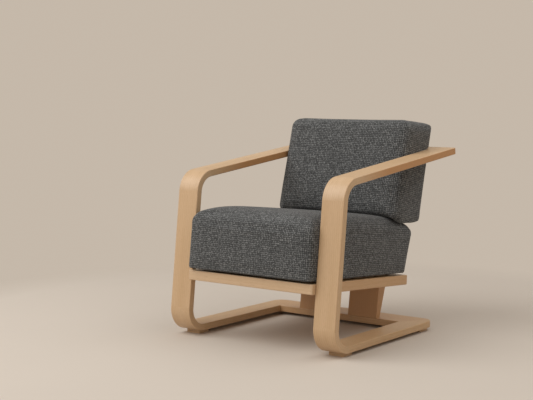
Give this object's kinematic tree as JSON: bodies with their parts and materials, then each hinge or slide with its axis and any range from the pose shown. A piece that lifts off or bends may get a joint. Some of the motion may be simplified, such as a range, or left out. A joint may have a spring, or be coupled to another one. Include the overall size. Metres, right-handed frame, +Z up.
{
  "type": "outdoor lounge chair",
  "caption": "Outdoor lounge chair with bent timber side frames, a sloping slatted seat, leaning back boards and thick loose seat and back cushions.",
  "frame": {"origin": "on the floor under the middle of the chair's outline", "axes": "+Z up; the chair faces -Y, so +Y is towards its back; +X is the right-hand side seen from the front"},
  "size_m": [0.73, 0.843, 0.7862],
  "materials": {
    "frame_timber": "pale natural hardwood, oiled matt",
    "slat_timber": "plain sawn hardwood, matt",
    "peg_timber": "raw beech",
    "screw_steel": "plain stainless",
    "cushion_fabric": "coarse charcoal basket weave"
  },
  "bodies": {
    "frame": {"left_runner": "frame_timber", "left_lower_bend": "frame_timber", "left_leg": "frame_timber", "left_upper_bend": "frame_timber", "left_arm": "frame_timber", "right_runner": "frame_timber", "right_lower_bend": "frame_timber", "right_leg": "frame_timber", "right_upper_bend": "frame_timber", "right_arm": "frame_timber", "rear_floor_bar": "frame_timber", "rear_arm_rail": "frame_timber", "left_upright": "frame_timber", "right_upright": "frame_timber", "seat_front_rail": "frame_timber", "seat_left_rail": "frame_timber", "seat_right_rail": "frame_timber", "seat_rear_rail": "frame_timber", "front_left_foot": "frame_timber", "front_right_foot": "frame_timber", "rear_left_foot": "frame_timber", "rear_right_foot": "frame_timber", "seat_slat_1": "slat_timber", "seat_slat_2": "slat_timber", "seat_slat_3": "slat_timber", "seat_slat_4": "slat_timber", "seat_slat_5": "slat_timber", "seat_slat_6": "slat_timber", "left_slat_ledger": "slat_timber", "right_slat_ledger": "slat_timber", "band_dowels": "peg_timber", "seat_dowels": "peg_timber", "upright_dowels": "peg_timber", "mitre_tenons": "peg_timber", "foot_screws": "screw_steel", "slat_screws": "screw_steel", "ledger_screws": "screw_steel", "upright_screws": "screw_steel"},
    "seat_cushion": {"seat_cushion": "cushion_fabric"},
    "back_cushion": {"back_cushion": "cushion_fabric"}
  },
  "joints": [
    {"name": "seat_cushion_slide", "type": "slide", "parent": "frame", "child": "seat_cushion", "axis": [0, -0.9973, 0.0739], "range_m": [0, 0.7]},
    {"name": "back_cushion_lift", "type": "slide", "parent": "frame", "child": "back_cushion", "axis": [0, 0, 1], "range_m": [0, 0.33]}
  ]
}
